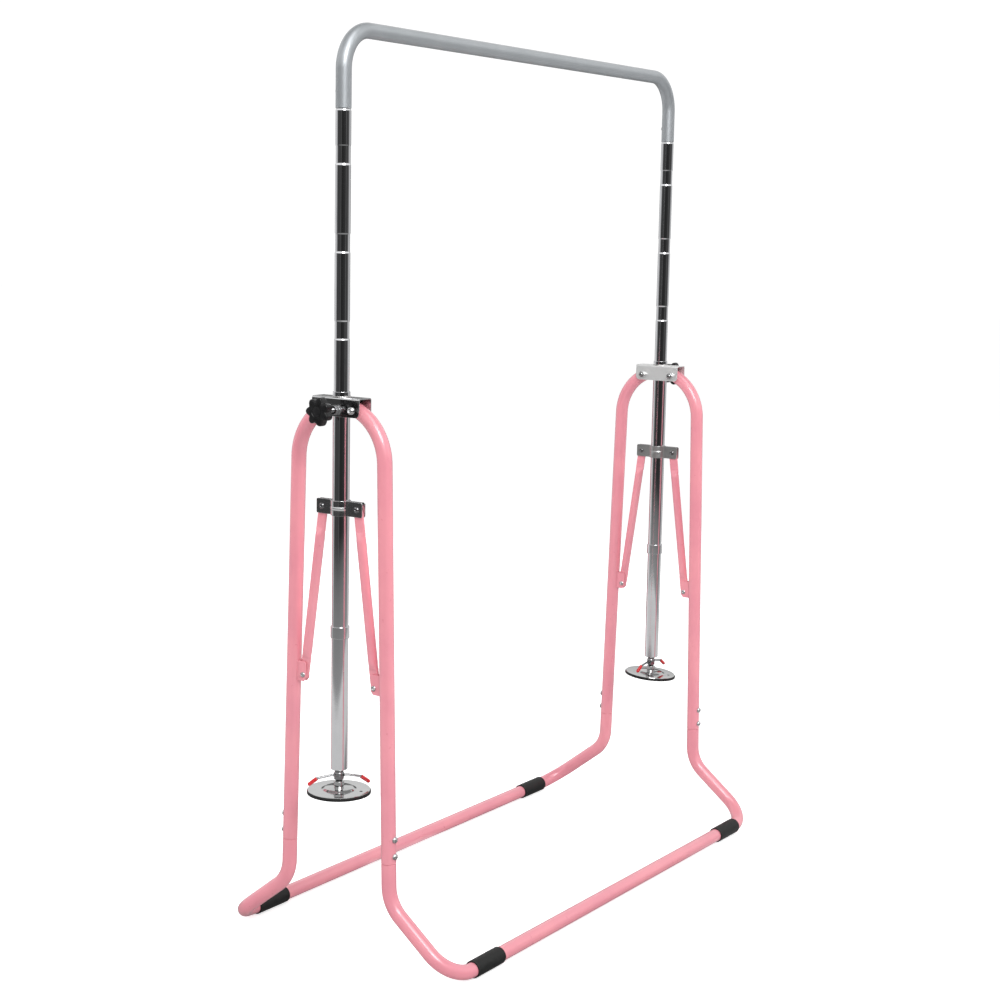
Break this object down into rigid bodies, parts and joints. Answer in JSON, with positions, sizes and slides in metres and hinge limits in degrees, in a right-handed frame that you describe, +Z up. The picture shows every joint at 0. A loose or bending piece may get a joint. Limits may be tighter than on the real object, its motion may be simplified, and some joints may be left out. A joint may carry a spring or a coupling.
{
  "type": "kip bar",
  "caption": "Folding, height-adjustable gymnastics kip bar: a grip bar on two telescoping posts, carried by hinged A-frame legs with braces and suction feet.",
  "frame": {"origin": "on the floor, midway between the two posts and midway between the front and rear floor bars", "axes": "+X along the grip bar towards the right post, +Z up, -Y towards the front floor bar"},
  "size_m": [1.314, 0.564, 1.7257],
  "materials": {
    "pink_powder_coat": "gloss powder coat",
    "silver_paint": "silver metallic paint",
    "chrome_tube": "polished chrome plate",
    "chrome_pressing": "chrome plated pressing",
    "zinc_hardware": "bright zinc plate",
    "black_rubber": "matte rubber",
    "black_plastic": "moulded plastic",
    "red_vinyl": "dipped vinyl"
  },
  "bodies": {
    "mast": {"post_upper_left": "chrome_tube", "post_upper_right": "chrome_tube", "post_lower_left": "chrome_tube", "post_lower_right": "chrome_tube", "stop_ring_left": "chrome_tube", "stop_ring_right": "chrome_tube", "bracket_left": "chrome_pressing", "bracket_right": "chrome_pressing", "pivot_bolts": "zinc_hardware", "pivot_nuts": "zinc_hardware", "knob_boss_nuts": "zinc_hardware", "post_end_plugs": "zinc_hardware"},
    "bar_carriage": {"top_bar": "silver_paint", "inner_tube_left": "chrome_tube", "inner_tube_right": "chrome_tube", "bar_screws": "zinc_hardware", "inner_tube_plugs": "black_plastic"},
    "front_frame": {"front_leg_left": "pink_powder_coat", "front_leg_right": "pink_powder_coat", "front_floor_bar": "pink_powder_coat", "front_floor_sleeves": "black_rubber", "front_leg_bolts": "zinc_hardware", "front_leg_nuts": "zinc_hardware", "front_brace_lugs": "pink_powder_coat", "front_lug_rivets": "zinc_hardware"},
    "rear_frame": {"rear_leg_left": "pink_powder_coat", "rear_leg_right": "pink_powder_coat", "rear_floor_bar": "pink_powder_coat", "rear_floor_sleeves": "black_rubber", "rear_leg_bolts": "zinc_hardware", "rear_leg_nuts": "zinc_hardware", "rear_brace_lugs": "pink_powder_coat", "rear_lug_rivets": "zinc_hardware"},
    "collar_left": {"collar_outer_left": "chrome_pressing", "collar_inner_left": "chrome_pressing", "collar_rivets_left": "zinc_hardware"},
    "knob_left": {"knob_left": "black_plastic", "knob_screw_left": "zinc_hardware"},
    "foot_left": {"foot_stud_left": "zinc_hardware"},
    "handle_left": {"handle_hub_left": "zinc_hardware", "handle_rods_left": "zinc_hardware", "handle_grips_left": "red_vinyl"},
    "cup_left": {"suction_plate_left": "chrome_pressing", "suction_pad_left": "black_rubber"},
    "front_brace_left": {"front_brace_left": "pink_powder_coat"},
    "rear_brace_left": {"rear_brace_left": "pink_powder_coat"},
    "collar_right": {"collar_outer_right": "chrome_pressing", "collar_inner_right": "chrome_pressing", "collar_rivets_right": "zinc_hardware"},
    "knob_right": {"knob_right": "black_plastic", "knob_screw_right": "zinc_hardware"},
    "foot_right": {"foot_stud_right": "zinc_hardware"},
    "handle_right": {"handle_hub_right": "zinc_hardware", "handle_rods_right": "zinc_hardware", "handle_grips_right": "red_vinyl"},
    "cup_right": {"suction_plate_right": "chrome_pressing", "suction_pad_right": "black_rubber"},
    "front_brace_right": {"front_brace_right": "pink_powder_coat"},
    "rear_brace_right": {"rear_brace_right": "pink_powder_coat"}
  },
  "joints": [
    {"name": "bar_height", "type": "slide", "parent": "mast", "child": "bar_carriage", "axis": [0, 0, 1], "range_m": [-0.465, 0]},
    {"name": "front_fold", "type": "hinge", "parent": "mast", "child": "front_frame", "pos_m": [0, -0.0365, 1.0375], "axis": [-1, 0, 0], "range_deg": [0, 30]},
    {"name": "rear_fold", "type": "hinge", "parent": "mast", "child": "rear_frame", "pos_m": [0, 0.0365, 1.0375], "axis": [1, 0, 0], "range_deg": [0, 30]},
    {"name": "collar_left_slide", "type": "slide", "parent": "mast", "child": "collar_left", "axis": [0, 0, -1], "range_m": [0, 0.08024]},
    {"name": "front_brace_left_swing", "type": "hinge", "parent": "front_frame", "child": "front_brace_left", "pos_m": [-0.586, -0.0841, 0.5325], "axis": [-1, 0, 0], "range_deg": [0, 24.64]},
    {"name": "rear_brace_left_swing", "type": "hinge", "parent": "rear_frame", "child": "rear_brace_left", "pos_m": [-0.586, 0.0841, 0.5325], "axis": [1, 0, 0], "range_deg": [0, 24.64]},
    {"name": "collar_right_slide", "type": "slide", "parent": "mast", "child": "collar_right", "axis": [0, 0, -1], "range_m": [0, 0.08024]},
    {"name": "front_brace_right_swing", "type": "hinge", "parent": "front_frame", "child": "front_brace_right", "pos_m": [0.586, -0.0841, 0.5325], "axis": [-1, 0, 0], "range_deg": [0, 24.64]},
    {"name": "rear_brace_right_swing", "type": "hinge", "parent": "rear_frame", "child": "rear_brace_right", "pos_m": [0.586, 0.0841, 0.5325], "axis": [1, 0, 0], "range_deg": [0, 24.64]},
    {"name": "knob_left_turn", "type": "hinge", "parent": "mast", "child": "knob_left", "pos_m": [-0.646, 0, 1.037], "axis": [1, 0, 0], "range_deg": [0, 540]},
    {"name": "handle_left_turn", "type": "hinge", "parent": "mast", "child": "handle_left", "pos_m": [-0.586, 0, 0.353], "axis": [0, 0, 1], "range_deg": [0, 1530]},
    {"name": "foot_left_extend", "type": "slide", "parent": "mast", "child": "foot_left", "axis": [0, 0, -1], "range_m": [0, 0.00852]},
    {"name": "cup_left_tilt", "type": "hinge", "parent": "foot_left", "child": "cup_left", "pos_m": [-0.586, 0, 0.336], "axis": [0.8725, 0.4885, 0], "range_deg": [-5, 5]},
    {"name": "knob_right_turn", "type": "hinge", "parent": "mast", "child": "knob_right", "pos_m": [0.646, 0, 1.037], "axis": [-1, 0, 0], "range_deg": [0, 540]},
    {"name": "handle_right_turn", "type": "hinge", "parent": "mast", "child": "handle_right", "pos_m": [0.586, 0, 0.353], "axis": [0, 0, 1], "range_deg": [0, 1530]},
    {"name": "foot_right_extend", "type": "slide", "parent": "mast", "child": "foot_right", "axis": [0, 0, -1], "range_m": [0, 0.00852]},
    {"name": "cup_right_tilt", "type": "hinge", "parent": "foot_right", "child": "cup_right", "pos_m": [0.586, 0, 0.336], "axis": [0.8725, 0.4885, 0], "range_deg": [-9.6, 0.2]}
  ],
  "couplings": [
    {"joint": "rear_fold", "follows": "front_fold", "ratio": 1},
    {"joint": "collar_left_slide", "follows": "front_fold", "m_per_rad": 0.15287},
    {"joint": "front_brace_left_swing", "follows": "front_fold", "ratio": 0.81789},
    {"joint": "rear_brace_left_swing", "follows": "front_fold", "ratio": 0.81789},
    {"joint": "collar_right_slide", "follows": "front_fold", "m_per_rad": 0.15287},
    {"joint": "front_brace_right_swing", "follows": "front_fold", "ratio": 0.81789},
    {"joint": "rear_brace_right_swing", "follows": "front_fold", "ratio": 0.81789},
    {"joint": "foot_left_extend", "follows": "handle_left_turn", "m_per_rad": 0.00031831},
    {"joint": "foot_right_extend", "follows": "handle_right_turn", "m_per_rad": 0.00031831}
  ]
}
